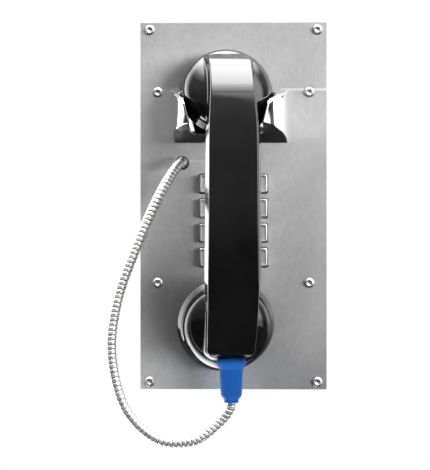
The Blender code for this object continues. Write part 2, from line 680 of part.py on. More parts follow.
def build_handset():
    plastic = black_plastic()
    body = in_handset(loft("handset_body", handle_sections(), plastic))
    ends = ((EAR_RADIUS - EAR_SHOULDER, EAR_CENTRE, 1), (MOUTH_RADIUS - MOUTH_SHOULDER, MOUTH_CENTRE, -1))
    for dome, centre, up in ends:
        fuse(body, on_cap(turned("cup", cup_profile(dome), plastic, steps=40), centre, up))
    for dome, centre, up in ends:
        cavity = dome - 3.4 * MM
        hollow = cylinder("hollow", cavity, (0, 0, 0), (0, 0, 15.2 * MM), plastic, 36)
        cut(body, on_cap(hollow, centre, up))
    boot_y = FRONT - BOOT_DEPTH
    cut(body, in_handset(cylinder("boot_seat", 10.5 * MM, (BOOT_X, boot_y, BOOT_TOP + GAP),
                                  (BOOT_X, boot_y, -140 * MM), plastic, 32)),
        in_handset(cylinder("neck_hole", 6.0 * MM, (BOOT_X, boot_y, BOOT_TOP - MM),
                            (BOOT_X, boot_y, -84 * MM), plastic, 20)))
    wire_y = FRONT - 50 * MM
    inlet_y = FRONT - 30 * MM
    cut(body, in_handset(tube("wire_way", [(0, inlet_y, -76 * MM), (0, wire_y, -64 * MM),
                                           (0, wire_y, 62 * MM), (0, inlet_y, 76 * MM)],
                              3.0 * MM, plastic)))
    smooth(body)

    cap("ear_cap", EAR_RADIUS, EAR_RADIUS - EAR_SHOULDER, EAR_CENTRE, 1, 8 * MM)
    cap("mouth_cap", MOUTH_RADIUS, MOUTH_RADIUS - MOUTH_SHOULDER, MOUTH_CENTRE, -1, 10 * MM)

    for name, radius, centre, up in (("receiver_capsule", 23 * MM, EAR_CENTRE, 1),
                                     ("transmitter_capsule", 24 * MM, MOUTH_CENTRE, -1)):
        profile = [(0.0, 12.5 * MM), (radius - 8 * MM, 12.5 * MM), (radius - 7 * MM, 9 * MM),
                   (radius - 1 * MM, 8 * MM), (radius, 7 * MM), (radius, 3.2 * MM), (0.0, 3.2 * MM)]
        capsule = on_cap(turned(name, profile, zinc_plate(), steps=24), centre, up)
        smooth(capsule)

    neck, bore = 5.6 * MM, CORD_RADIUS + 0.4 * MM
    flange = 10.1 * MM
    boot_profile = [(bore, BOOT_TOP + 12 * MM), (neck, BOOT_TOP + 12 * MM), (neck, BOOT_TOP),
                    (8.2 * MM, BOOT_TOP), (9.7 * MM, BOOT_TOP - 1.4 * MM),
                    (flange, BOOT_TOP - 2.8 * MM), (9.3 * MM, BOOT_TOP - 4.8 * MM),
                    (7.7 * MM, BOOT_TOP - 7.4 * MM), (7.0 * MM, BOOT_END + 5.5 * MM),
                    (4.9 * MM, BOOT_END + 0.8 * MM), (4.4 * MM, BOOT_END), (bore, BOOT_END)]
    boot = in_handset(turned("cord_boot", boot_profile, blue_rubber(), steps=28, closed=True))
    boot.location = (BOOT_X, boot_y, 0.0)
    smooth(boot)


# ---------------------------------------------------------------- cord
def cord_path():
    """From behind the plate, out through the bushing, round the loop and up into the boot."""
    x, z = CORD_EXIT
    boot = bpy.data.objects["handset_hang"].matrix_world @ Vector((BOOT_X, FRONT - BOOT_DEPTH, BOOT_END))
    hanging = [(-40.8, 13, 22.6), (-49.8, 25, 5), (-63.6, 33, -27), (-76.0, 37, -62), (-80.1, 39, -98),
               (-71.2, 39, -134), (-50.2, 38, -154.8), (-26.0, 37, -155.9)]
    straight_in = [(x, 11 * MM, z), (x, 4 * MM, z), (x, FRONT - 1 * MM, z), (x, FRONT - 5 * MM, z)]
    loop = [(px * MM, FRONT - out * MM, pz * MM) for px, out, pz in hanging]
    lead_out = [boot + Vector((-8.2 * MM, 0, -13.4 * MM)), boot + Vector((-1.0 * MM, 0, -4.4 * MM)),
                boot + Vector((0, 0, 2 * MM)), boot + Vector((0, 0, 9 * MM)),
                boot + Vector((0, 0, 17 * MM))]
    return through_points(straight_in + loop + lead_out, 4)


def build_cord():
    x, z = CORD_EXIT
    cord = tube("armored_cord", cord_path(), CORD_RADIUS, brushed_steel())
    smooth(cord)

    bore = CORD_RADIUS + 0.5 * MM
    lip = 4.6 * MM
    profile = [(bore, 0.2 * MM), (lip, 0.2 * MM), (lip, -PLATE_THICKNESS - GAP),
               (6.0 * MM, -PLATE_THICKNESS - GAP), (5.6 * MM, -3.6 * MM), (bore, -3.6 * MM)]
    bushing = turned("cord_bushing", profile, black_plastic(), steps=20, closed=True)
    bushing.location = (x, FRONT, z)
    bushing.rotation_euler = (math.radians(90), 0.0, 0.0)
    smooth(bushing)

    collar_start, collar_end = 3.4 * MM, 9.4 * MM
    collar = [(bore - 0.1 * MM, collar_end), (6.2 * MM, collar_end), (6.2 * MM, collar_start),
              (bore - 0.1 * MM, collar_start)]
    clamp = turned("cord_collar", collar, zinc_plate(), steps=20, closed=True)
    clamp.location = (x, 0.0, z)
    clamp.rotation_euler = (math.radians(-90), 0.0, 0.0)
    smooth(clamp)

    lead = through_points([(x, 11.6 * MM, z), (x, 17 * MM, z), (x + 4 * MM, 24 * MM, z + 5 * MM),
                           (x + 5 * MM, 29 * MM, z + 6 * MM), (x + 5 * MM, STANDOFF_LENGTH, z + 6 * MM)], 3)
    smooth(tube("cord_lead", lead, 1.9 * MM, dark_component(), resolution=1))


# ---------------------------------------------------------------- electronics
def build_electronics():
    front = STANDOFF_LENGTH + 2 * GAP
    back = front + BOARD_THICKNESS
    half_x, half_z = BOARD_SIZE[0] / 2, BOARD_SIZE[1] / 2
    z0 = BOARD_CENTRE_Z
    board = box("main_board", (-half_x, front, z0 - half_z), (half_x, back, z0 + half_z),
                green_laminate(), edge=2 * MM, axes="y")
    for side in (-1, 1):
        for z in BOARD_HOLES_Z:
            x = side * BOARD_HOLES_X
            cut(board, cylinder("hole", 1.8 * MM, (x, front - MM, z), (x, back + MM, z),
                                green_laminate(), 12))
    rest = back + GAP
    box("line_transformer", (-34 * MM, rest, z0 + 12 * MM), (-8 * MM, rest + 16 * MM, z0 + 34 * MM),
        dark_component(), edge=1.2 * MM)
    block = box("terminal_block", (-20 * MM, rest, z0 - 66 * MM), (20 * MM, rest + 12 * MM, z0 - 55 * MM),
                green_connector())
    for k in range(4):
        x = (k - 1.5) * 9.4 * MM
        cut(block, box("entry", (x - 3 * MM, rest + 2.5 * MM, z0 - 68 * MM),
                       (x + 3 * MM, rest + 8 * MM, z0 - 59 * MM), green_connector()))


# ---------------------------------------------------------------- assembly
def clear_scene():
    for obj in list(bpy.data.objects):
        bpy.data.objects.remove(obj)


def main():
    global PARTS
    clear_scene()
    PARTS = bpy.data.collections.new("panel_telephone")
    bpy.context.scene.collection.children.link(PARTS)
    hang = bpy.data.objects.new("handset_hang", None)
    hang.location = (HANDSET_X, 0.0, 0.0)
    hang.rotation_euler = (0.0, 0.0, HANDSET_TWIST)
    PARTS.objects.link(hang)
    bpy.context.view_layer.update()
    build_face_plate()
    build_fasteners()
    build_keypad()
    build_cradle()
    build_hook_switch()
    build_handset()
    build_cord()
    build_electronics()
    for obj in PARTS.objects:
        if obj.parent is None:
            obj.location.z -= MOUNT_HOLE_SPACING[1] / 2


main()
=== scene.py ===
"""The looks of the wall telephone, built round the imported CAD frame.

Row frame: metres, +X to the user's right, +Y into the wall, +Z up, origin midway between the
plate's upper mounting holes. The shaped castings are drawn as fields in millimetres, in the
"panel" axes: x to the right, out from the plate's front face, height above the plate's centre.
"""

import math

import bmesh
import bpy
import numpy as np
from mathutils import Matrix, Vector


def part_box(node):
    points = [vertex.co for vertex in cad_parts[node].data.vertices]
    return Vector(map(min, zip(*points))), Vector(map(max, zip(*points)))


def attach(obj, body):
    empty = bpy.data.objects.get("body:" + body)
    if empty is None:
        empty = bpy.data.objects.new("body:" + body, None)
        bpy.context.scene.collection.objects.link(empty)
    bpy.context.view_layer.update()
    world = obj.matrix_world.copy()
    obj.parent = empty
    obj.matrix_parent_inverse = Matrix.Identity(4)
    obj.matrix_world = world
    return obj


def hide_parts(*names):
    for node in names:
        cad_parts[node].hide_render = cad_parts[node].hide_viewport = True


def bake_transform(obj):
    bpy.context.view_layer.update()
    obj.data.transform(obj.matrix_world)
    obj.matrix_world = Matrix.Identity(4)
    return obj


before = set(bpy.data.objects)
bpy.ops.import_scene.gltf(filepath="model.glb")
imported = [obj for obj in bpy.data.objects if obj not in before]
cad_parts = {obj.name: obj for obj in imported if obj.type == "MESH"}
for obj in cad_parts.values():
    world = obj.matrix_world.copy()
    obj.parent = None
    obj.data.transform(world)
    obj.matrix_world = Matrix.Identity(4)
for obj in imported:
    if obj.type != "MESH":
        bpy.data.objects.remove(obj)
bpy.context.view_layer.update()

MM = 0.001
PLATE_THICKNESS = 1.9
ORIGIN_HEIGHT = 120.0
CRADLE_X = -2.2
POCKET_X = -4.3
CRADLE_REACH = 40.0
HANDSET_X = -6.5
HANDSET_TWIST = math.radians(7.0)
LIFT_ANGLE = math.radians(50.0)
EAR_TILT = math.radians(26.0)
MOUTH_TILT = math.radians(-15.0)
EAR = {"radius": 31.7, "out": 14.6, "height": 74.3, "tilt": EAR_TILT, "dome": 29.6}
MOUTH = {"radius": 32.9, "out": 10.0, "height": -80.1, "tilt": MOUTH_TILT, "dome": 29.4}
CAP_DEPTH = 8.0
DOME_RISE = 16.7
CUP_WALL = 3.4
HOLLOW_DEPTH = 13.0
FLANK_DEPTH = 8.0
FLANK_DRAFT = 0.14
BOOT = {"x": 1.4, "out": 33.0, "top": -101.4, "end": -131.0}
SEAT_RADIUS = 10.3
CORD_RADIUS = 3.4
GROOVE_DEPTH = 0.5
CORD_HOLE = (-35.0, 29.5)
CORD_PITCH = 3.1
KEY_LABELS = ("1", "2", "3", "4", "5", "6", "7", "8", "9", "star", "0", "hash")
KEY_SIGNS = {"star": "*", "hash": "#"}
BACKDROP = 1.02
FLOOR_HEIGHT = -0.62
FLOOR_REACH = 1.1
CAMERA_DISTANCE = 1.2
IMAGE_SCALE = 1466.0
IMAGE_SIDE = 470.0
CORNERS = ("top_left", "top_right", "bottom_left", "bottom_right")


# ---------------------------------------------------------------- places
def panel_to_row(points):
    """Panel axes in millimetres to the row frame in metres."""
    points = np.asarray(points, float)
    return np.stack([points[:, 0], -PLATE_THICKNESS - points[:, 1],
                     points[:, 2] - ORIGIN_HEIGHT], 1) * MM


def handset_to_row(points):
    """Handset axes, which hang twisted in front of the plate, to the row frame."""
    points = np.asarray(points, float)
    x, y = points[:, 0], -PLATE_THICKNESS - points[:, 1]
    c, s = math.cos(HANDSET_TWIST), math.sin(HANDSET_TWIST)
    return np.stack([HANDSET_X + x * c - y * s, x * s + y * c, points[:, 2] - ORIGIN_HEIGHT], 1) * MM


def panel_to_handset(points):
    x, y = points[:, 0] - HANDSET_X, -PLATE_THICKNESS - points[:, 1]
    c, s = math.cos(HANDSET_TWIST), math.sin(HANDSET_TWIST)
    return np.stack([x * c + y * s, -PLATE_THICKNESS - (-x * s + y * c), points[:, 2]], 1)


def cap_axes(points, cap):
    """(across, up, along) of handset points, from the middle of a cap's face."""
    out, height = points[:, 1] - cap["out"], points[:, 2] - cap["height"]
    c, s = math.cos(cap["tilt"]), math.sin(cap["tilt"])
    return points[:, 0], -out * s + height * c, out * c + height * s


def cap_to_handset(points, cap):
    points = np.asarray(points, float)
    c, s = math.cos(cap["tilt"]), math.sin(cap["tilt"])
    across, up, along = points.T
    return np.stack([across, cap["out"] + along * c - up * s, cap["height"] + along * s + up * c], 1)


# ---------------------------------------------------------------- fields
def both(a, b, radius):
    """Where both fields are negative, with the edge between them rounded."""
    corner = np.hypot(np.maximum(a + radius, 0), np.maximum(b + radius, 0))
    return np.minimum(-radius, np.maximum(a, b)) + corner


def either(a, b, radius):
    """Where either field is negative, with a fillet in the inner corner."""
    return -both(-a, -b, radius)


def spline(knots, values):
    """A natural cubic through the knots, as a function of an array."""
    x, y = np.asarray(knots, float), np.asarray(values, float)
    n, h = len(x), np.diff(x)
    system, right = np.eye(n), np.zeros(n)
    for k in range(1, n - 1):
        system[k, k - 1:k + 2] = h[k - 1], 2 * (h[k - 1] + h[k]), h[k]
        right[k] = 6 * ((y[k + 1] - y[k]) / h[k] - (y[k] - y[k - 1]) / h[k - 1])
    bend = np.linalg.solve(system, right)
    fine = np.linspace(x[0], x[-1], 1200)
    k = np.clip(np.searchsorted(x, fine) - 1, 0, n - 2)
    a, b = (x[k + 1] - fine) / h[k], (fine - x[k]) / h[k]
    made = a * y[k] + b * y[k + 1] + ((a**3 - a) * bend[k] + (b**3 - b) * bend[k + 1]) * h[k]**2 / 6
    slope = np.gradient(made, fine)
    return lambda at: (np.interp(at, fine, made), np.interp(at, fine, slope))


# height, palm side and back distance from the plate, palm side and back half width
HANDLE = np.array([
    (-101.4, 22, 37, 14.4, 14.2), (-99.2, 21.5, 42.4, 15.6, 15.4), (-94, 21, 46.6, 16.3, 16),
    (-88, 22, 50.2, 16.6, 16.3), (-78, 26.6, 55.4, 16.9, 16.5), (-66, 32.4, 60, 17.3, 16.6),
    (-52, 39.2, 63, 18.4, 16.6), (-34, 42.3, 64.8, 18.7, 16.4), (0, 43, 65.6, 18.3, 16.2),
    (34, 41, 64.8, 18, 16), (52, 37.5, 63, 17.3, 15.7), (66, 30, 60.3, 16, 15.1),
    (76, 25, 56.4, 15.4, 14.5), (85, 22.5, 50.4, 15, 14.1), (92, 21, 44, 14.9, 13.9),
    (97, 20.5, 37, 14.7, 13.8), (99.4, 20.5, 30, 14.3, 13.6)])
PALM, BACK, PALM_WIDTH, BACK_WIDTH = (spline(HANDLE[:, 0], HANDLE[:, k]) for k in range(1, 5))


def handle_field(points):
    x, out, height = np.abs(points[:, 0]), points[:, 1], points[:, 2]
    (palm, palm_slope), (back, back_slope) = PALM(height), BACK(height)
    (wide, _), (narrow, _) = PALM_WIDTH(height), BACK_WIDTH(height)
    depth = back - out
    half = narrow + (wide - narrow) * np.clip(depth / FLANK_DEPTH, 0, 1)
    half -= FLANK_DRAFT * np.maximum(depth - FLANK_DEPTH, 0)
    shape = both((out - back) / np.hypot(1, back_slope), x - half, 1.2)
    low, high = HANDLE[0, 0] - height, height - HANDLE[-1, 0]
    shape = both(both(shape, high, 1.8), low, 1.5)
    shape = np.maximum(shape, both(x - half, low, 5.5))
    return both(shape, (palm - out) / np.hypot(1, palm_slope), 4.5)


def cup_field(points, cap):
    """The dome behind a cap."""
    across, up, along = cap_axes(points, cap)
    radius, height = cap["dome"], along - CAP_DEPTH
    scaled = np.sqrt((across**2 + up**2) / radius**2 + (height / DOME_RISE)**2)
    slope = np.sqrt((across**2 + up**2) / radius**4 + (height / DOME_RISE**2)**2)
    dome = (scaled - 1) * scaled / np.maximum(slope, 1e-3)
    return both(dome, CAP_DEPTH - along, 0.3)


def handset_field(points):
    shape = handle_field(points)
    for cap in (EAR, MOUTH):
        shape = either(shape, cup_field(points, cap), 3.0)
        across, up, along = cap_axes(points, cap)
        hollow = np.maximum(np.hypot(across, up) - (cap["dome"] - CUP_WALL), along - HOLLOW_DEPTH)
        shape = both(shape, -hollow, 0.4)
    reach = np.hypot(points[:, 0] - BOOT["x"], points[:, 1] - BOOT["out"])
    seat = np.maximum(reach - SEAT_RADIUS, points[:, 2] - BOOT["top"] - 0.3)
    return both(shape, -seat, 0.3)


# out from the plate, middle, half width below and above, bottom and top
CRADLE = np.array([
    (-6, -1.5, 38.6, 38.6, 42.6, 79.6), (0, -1.5, 38.5, 38.5, 43.0, 79.2),
    (11.8, -2.3, 38.0, 38.0, 46.0, 77.0), (22.5, -3.1, 36.0, 36.0, 49.0, 74.6),
    (31, -3.8, 32.8, 33.2, 51.5, 72.2), (36, -4.1, 29.6, 31.5, 53.0, 70.2),
    (40, -4.4, 25.0, 28.5, 54.0, 67.4), (44, -4.6, 19.0, 25.0, 55.0, 64.4)])
CRADLE_MIDDLE, LOW_HALF, HIGH_HALF, CRADLE_LOW, CRADLE_HIGH = (
    spline(CRADLE[:, 0], CRADLE[:, k]) for k in range(1, 6))


def cradle_field(points):
    out, height = points[:, 1], points[:, 2]
    (low, low_slope), (high, high_slope) = CRADLE_LOW(out), CRADLE_HIGH(out)
    share = np.clip((height - low) / (high - low), 0, 1)
    (narrow, a), (wide, b) = LOW_HALF(out), HIGH_HALF(out)
    half, slope = narrow + (wide - narrow) * share, a + (b - a) * share
    x = np.abs(points[:, 0] - CRADLE_MIDDLE(out)[0])
    shape = both((x - half) / np.hypot(1, slope), (height - high) / np.hypot(1, high_slope), 1.0)
    shape = both(shape, (low - height) / np.hypot(1, low_slope), 0.7)
    shape = both(shape, out - CRADLE_REACH, 0.5)
    shape = np.maximum(shape, -out)

    across, up, along = cap_axes(points, EAR)
    across = np.abs(across - POCKET_X)
    slant = 15.4 + (up + 60.0) * 0.279
    wedge = both((across - slant) * 0.96, up + 12.0, 1.0)
    upper = np.maximum(across - 25.0, -20.0 - up)
    corner = (across - along - slant - 4.0) * 0.7
    channel = both(both(either(wedge, upper, 1.0), corner, 1.5), -9.0 - along, 1.0)
    shape = both(shape, -channel, 0.5)

    across, up, along = cap_axes(panel_to_handset(points), EAR)
    away = LIFT_ANGLE - EAR_TILT
    lifted = np.maximum(0.0, (along - 10.0) / math.cos(away)) * math.sin(away)
    reach = np.hypot(across, np.minimum(up - lifted, 0)) - (EAR["radius"] + 0.4)
    shape = both(shape, -both(reach, -0.5 - along, 0.5), 0.5)
    x = np.abs(points[:, 0] - CRADLE_X)
    slot = np.maximum(np.maximum(x - 5.6, height - 71.5), 49.5 - height)
    return both(shape, -slot, 0.5)


def gradient(field, points):
    step = 0.02
    sides = []
    for k in range(3):
        shift = np.zeros(3)
        shift[k] = step
        sides.append((field(points + shift) - field(points - shift)) / (2 * step))
    return np.stack(sides, 1)


def settle(field, points, limit):
    """Moves points on to the surface where the field is zero."""
    slope = gradient(field, points)
    move = slope * (field(points) / np.maximum((slope**2).sum(1), 0.05))[:, None]
    length = np.maximum(np.linalg.norm(move, axis=1, keepdims=True), 1e-9)
    return points - move * np.minimum(1, limit / length)


def skin(name, field, low, high, cell, to_row):
    """A quad mesh over the surface of a field, evened out and pulled exactly on to it."""
    low, high = np.array(low, float), np.array(high, float)
    counts = np.ceil((high - low) / cell).astype(int) + 1
    axes = [low[k] + cell * np.arange(counts[k]) for k in range(3)]
    inside = np.zeros(counts, bool)
    for k, x in enumerate(axes[0]):
        sheet = np.stack(np.meshgrid([x], axes[1], axes[2], indexing="ij"), -1).reshape(-1, 3)
        inside[k] = (field(sheet) < 0).reshape(counts[1:])
    total = sum(inside[a:a + counts[0] - 1, b:b + counts[1] - 1, c:c + counts[2] - 1].astype(int)
                for a in (0, 1) for b in (0, 1) for c in (0, 1))
    crossed = np.argwhere((total > 0) & (total < 8))
    number = np.full(counts - 1, -1)
    number[tuple(crossed.T)] = np.arange(len(crossed))
    quads = []
    for axis in range(3):
        first = inside.take(range(counts[axis] - 1), axis)
        second = inside.take(range(1, counts[axis]), axis)
        u, v = np.eye(3, dtype=int)[(axis + 1) % 3], np.eye(3, dtype=int)[(axis + 2) % 3]
        for mirrored, change in ((True, first & ~second), (False, second & ~first)):
            at = np.argwhere(change)
            loop = np.stack([number[tuple((at - shift).T)] for shift in (0 * u, u, u + v, v)], 1)
            quads.append(loop[:, ::-1] if mirrored else loop)
    quads = np.concatenate(quads)
    points = low + (crossed + 0.5) * cell
    sides = np.concatenate([quads[:, [k, (k + 1) % 4]] for k in range(4)])
    links = np.bincount(sides[:, 0], minlength=len(points))[:, None]
    for _ in range(3):
        points = settle(field, points, cell)
        total = np.stack([np.bincount(sides[:, 0], points[sides[:, 1], k], len(points))
                          for k in range(3)], 1)
        points = points + 0.5 * (total / links - points)
    for _ in range(3):
        points = settle(field, points, cell)
    obj = make_object(name, to_row(points), quads)
    slope = gradient(field, points)
    ahead = to_row(points + 0.1 * slope / np.linalg.norm(slope, axis=1, keepdims=True))
    normals = ahead - to_row(points)
    normals /= np.linalg.norm(normals, axis=1, keepdims=True)
    obj.data.shade_smooth()
    obj.data.normals_split_custom_set_from_vertices(normals.tolist())
    return obj


# ---------------------------------------------------------------- meshes
def make_object(name, points, faces):
    mesh = bpy.data.meshes.new(name)
    mesh.from_pydata(np.asarray(points).tolist(), [], [list(map(int, face)) for face in faces])
    mesh.update()
    obj = bpy.data.objects.new(name, mesh)
    bpy.context.scene.collection.objects.link(obj)
    return obj


def mend(mesh, weld=0.0, outward=True):
    """Joins vertices nearer than weld and turns the faces outward."""
    bm = bmesh.new()
    bm.from_mesh(mesh)
    if weld:
        bmesh.ops.remove_doubles(bm, verts=bm.verts, dist=weld)
    if outward:
        bmesh.ops.recalc_face_normals(bm, faces=bm.faces)
    bm.to_mesh(mesh)
    bm.free()


def crease(mesh, angle):
    """Smooth shading, but for edges sharper than the angle in degrees."""
    mesh.shade_smooth()
    mesh.set_sharp_from_angle(angle=math.radians(angle))


def through(points, per_span):
    """A Catmull-Rom curve through the points."""
    points = np.asarray(points, float)
    padded = np.vstack([2 * points[0] - points[1], points, 2 * points[-1] - points[-2]])
    t = (np.arange(per_span) / per_span)[:, None]
    made = []
    for a, b, c, d in zip(padded, padded[1:], padded[2:], padded[3:]):
        made.append(0.5 * (2 * b + (c - a) * t + (2 * a - 5 * b + 4 * c - d) * t**2
                           + (3 * b - a - 3 * c + d) * t**3))
    return np.vstack(made + [points[-1:]])


def lathe(name, profile, to_row, steps=96, closed=False, angle=40):
    """A profile of (radius, along) turned about the third axis. Its ends close on the axis."""
    profile = np.asarray(profile, float)
    turn = np.linspace(0, 2 * math.pi, steps, endpoint=False)
    rings = [np.stack([r * np.cos(turn), r * np.sin(turn), np.full(steps, h)], 1) for r, h in profile]
    points = np.vstack(rings)
    faces = []
    count = len(profile)
    for k in range(count if closed else count - 1):
        a, b = k * steps, (k + 1) % count * steps
        for s in range(steps):
            t = (s + 1) % steps
            faces.append((a + s, b + s, b + t, a + t))
    obj = make_object(name, to_row(points), faces)
    mend(obj.data, weld=1e-6)
    crease(obj.data, angle)
    return obj


def rounded_square(half, radius, steps=6):
    outline = []
    for quarter in range(4):
        corner = math.radians(45 + 90 * quarter)
        cx = math.copysign(half - radius, math.cos(corner))
        cz = math.copysign(half - radius, math.sin(corner))
        for k in range(steps + 1):
            angle = math.radians(90 * quarter + 90 * k / steps)
            outline.append((cx + radius * math.cos(angle), cz + radius * math.sin(angle)))
    return outline


# ---------------------------------------------------------------- materials
def shader(name, colour, roughness, metallic=0.0):
    """A material with its Principled node, a node maker and a linker."""
    made = bpy.data.materials.new(name)
    made.use_nodes = True
    tree = made.node_tree
    base = tree.nodes["Principled BSDF"]
    base.inputs["Base Color"].default_value = (*colour, 1)
    base.inputs["Roughness"].default_value = roughness
    base.inputs["Metallic"].default_value = metallic
    return made, tree, base


def texture(tree, kind, stretch, **values):
    """A texture node on object coordinates, stretched along each axis."""
    coords = tree.nodes.new("ShaderNodeTexCoord")
    mapping = tree.nodes.new("ShaderNodeMapping")
    mapping.inputs["Scale"].default_value = stretch
    tree.links.new(coords.outputs["Object"], mapping.inputs["Vector"])
    node = tree.nodes.new("ShaderNodeTex" + kind)
    for key, value in values.items():
        node.inputs[key].default_value = value
    tree.links.new(mapping.outputs["Vector"], node.inputs["Vector"])
    return node


def spread(tree, source, low, high, start=0.3, end=0.7):
    """Maps a texture's value on to a range."""
    node = tree.nodes.new("ShaderNodeMapRange")
    for key, value in (("From Min", start), ("From Max", end), ("To Min", low), ("To Max", high)):
        node.inputs[key].default_value = value
    tree.links.new(source, node.inputs["Value"])
    return node.outputs["Result"]


def place(tree):
    """The point's own coordinates, taken apart."""
    coords = tree.nodes.new("ShaderNodeTexCoord")
    split = tree.nodes.new("ShaderNodeSeparateXYZ")
    tree.links.new(coords.outputs["Object"], split.inputs[0])
    return split


def chain(tree, operation, values):
    """Joins sockets and numbers with one arithmetic operation."""
    made = values[0]
    for value in values[1:]:
        node = tree.nodes.new("ShaderNodeMath")
        node.operation = operation
        for k, term in enumerate((made, value)):
            if isinstance(term, (int, float)):
                node.inputs[k].default_value = term
            else:
                tree.links.new(term, node.inputs[k])
        made = node.outputs[0]
    return made


def times(tree, *values):
    return chain(tree, "MULTIPLY", values)


def plus(tree, *values):
    return chain(tree, "ADD", values)


def choose(tree, mask, yes, no):
    """One value where the mask is 1 and the other where it is 0."""
    node = tree.nodes.new("ShaderNodeMix")
    node.data_type = "FLOAT"
    tree.links.new(mask, node.inputs["Factor"])
    for key, value in (("A", no), ("B", yes)):
        if isinstance(value, (int, float)):
            node.inputs[key].default_value = value
        else:
            tree.links.new(value, node.inputs[key])
    return node.outputs["Result"]


def tint(tree, base, source, low, high, start=0.3, end=0.7):
    """Base colour between two colours by a texture's value."""
    mix = tree.nodes.new("ShaderNodeMix")
    mix.data_type = "RGBA"
    mix.inputs["A"].default_value = (*low, 1)
    mix.inputs["B"].default_value = (*high, 1)
    tree.links.new(spread(tree, source, 0, 1, start, end), mix.inputs["Factor"])
    tree.links.new(mix.outputs["Result"], base.inputs["Base Color"])
    return mix


def bump(tree, base, source, distance, strength=1.0):
    node = tree.nodes.new("ShaderNodeBump")
    node.inputs["Distance"].default_value = distance
    node.inputs["Strength"].default_value = strength
    tree.links.new(source, node.inputs["Height"])
    tree.links.new(node.outputs["Normal"], base.inputs["Normal"])
    return node


def brushed_steel():
    """Stainless sheet brushed up and down, so that highlights smear sideways."""
    made, tree, base = shader("brushed_steel", (0.6, 0.6, 0.6), 0.36, 1.0)
    grain = texture(tree, "Noise", (2600, 2600, 90), Scale=1.0, Detail=3.0)
    cloud = texture(tree, "Noise", (14, 14, 14), Scale=1.0, Detail=4.0)
    fleck = texture(tree, "Noise", (300, 300, 260), Scale=1.0, Detail=3.0)
    # slow changes of brightness stand for what the sheet reflects
    tone = times(tree, spread(tree, grain.outputs["Fac"], 0.94, 1.06),
                 spread(tree, fleck.outputs["Fac"], 0.95, 1.05),
                 spread(tree, cloud.outputs["Fac"], 0.94, 1.06))
    split = place(tree)
    # painted light: the sheet is made lighter left of the middle at mid height, standing for brighter
    # reflection there
    left = times(tree, spread(tree, split.outputs["X"], 0.45, 0.0, -0.05, -0.005),
                 spread(tree, split.outputs["Z"], 0.45, 1.0, -0.104, -0.096),
                 spread(tree, split.outputs["Z"], 0.0, 1.0, -0.19, -0.14),
                 spread(tree, split.outputs["Z"], 1.0, 0.0, -0.04, -0.01))
    # painted light: the lower left beside the mouth end is made lighter as well, where the mouth cap hides
    # the room from the sheet's reflection
    low = times(tree, spread(tree, split.outputs["X"], 0.5, 0.0, -0.030, 0.012),
                spread(tree, split.outputs["Z"], 1.0, 0.0, -0.235, -0.190))
    reach = tree.nodes.new("ShaderNodeMath")
    reach.operation = "ABSOLUTE"
    tree.links.new(split.outputs["X"], reach.inputs[0])
    # painted highlights: two thin bright lines across the sheet, level with the cradle's top and with the
    # cord's hole, for light thrown on to it from them
    upper = painted_highlight_line(tree, split, -0.0405, spread(tree, reach.outputs[0], 0.0, 0.9, 0.030, 0.036))
    lower = painted_highlight_line(tree, split, -0.0893, spread(tree, split.outputs["X"], 0.35, 0.0, -0.022, -0.018))
    total = plus(tree, 1.0, left, low, upper, lower)
    tone = times(tree, tone, total, 0.66)
    grey = tree.nodes.new("ShaderNodeCombineColor")
    for channel in ("Red", "Green", "Blue"):
        tree.links.new(tone, grey.inputs[channel])
    tree.links.new(grey.outputs["Color"], base.inputs["Base Color"])
    tree.links.new(spread(tree, cloud.outputs["Fac"], 0.31, 0.40), base.inputs["Roughness"])
    base.inputs["Anisotropic"].default_value = 0.95
    across = tree.nodes.new("ShaderNodeCombineXYZ")
    across.inputs["X"].default_value = 1.0
    tree.links.new(across.outputs["Vector"], base.inputs["Tangent"])
    bump(tree, base, grain.outputs["Fac"], 0.00002, 0.4)
    return made


def painted_highlight_line(tree, split, height, ends):
    """A thin painted highlight across the plate, as strong along it as ends says."""
    return times(tree, spread(tree, split.outputs["Z"], 0.0, 1.0, height - 0.0012, height),
                 spread(tree, split.outputs["Z"], 1.0, 0.0, height, height + 0.0010), ends)


def cradle_chrome():
    """Polished plate; the faces that look down are rougher and have painted shade, a darker colour."""
    bright, underside_shade = (0.82, 0.82, 0.83), (0.451, 0.451, 0.4565)
    made, tree, base = shader("cradle_chrome", bright, 0.05, 1.0)
    haze = texture(tree, "Noise", (60, 60, 60), Scale=1.0, Detail=5.0)
    peel = texture(tree, "Noise", (260, 260, 260), Scale=1.0, Detail=1.0)
    bump(tree, base, peel.outputs["Fac"], 0.00004, 0.35)
    geometry = tree.nodes.new("ShaderNodeNewGeometry")
    facing = tree.nodes.new("ShaderNodeSeparateXYZ")
    tree.links.new(geometry.outputs["Normal"], facing.inputs[0])
    down = spread(tree, facing.outputs["Z"], 1.0, 0.0, -0.75, -0.60)
    # painted shade: faces that look down take the darker grey
    tint(tree, base, down, bright, underside_shade, 0.0, 1.0)
    polish = spread(tree, haze.outputs["Fac"], 0.03, 0.10)
    tree.links.new(plus(tree, polish, times(tree, down, 0.135)), base.inputs["Roughness"])
    return made


def screw_steel():
    """Screw heads, blasted to a soft sheen."""
    made, tree, base = shader("screw_steel", (0.5, 0.5, 0.5), 0.45, 1.0)
    blotch = texture(tree, "Noise", (180, 180, 180), Scale=1.0, Detail=4.0)
    tint(tree, base, blotch.outputs["Fac"], (0.46, 0.46, 0.46), (0.60, 0.60, 0.60))
    tree.links.new(spread(tree, blotch.outputs["Fac"], 0.3825, 0.5175), base.inputs["Roughness"])
    return made


def black_plastic():
    made, tree, base = shader("black_plastic", (0.003, 0.003, 0.003), 0.07)
    rub = texture(tree, "Noise", (45, 45, 45), Scale=1.0, Detail=6.0)
    tree.links.new(spread(tree, rub.outputs["Fac"], 0.05, 0.12), base.inputs["Roughness"])
    tint(tree, base, rub.outputs["Fac"], (0.002, 0.002, 0.002), (0.0045, 0.0045, 0.0045))
    sink = texture(tree, "Noise", (35, 35, 22), Scale=1.0, Detail=1.0)
    bump(tree, base, sink.outputs["Fac"], 0.0003, 0.15)
    return made


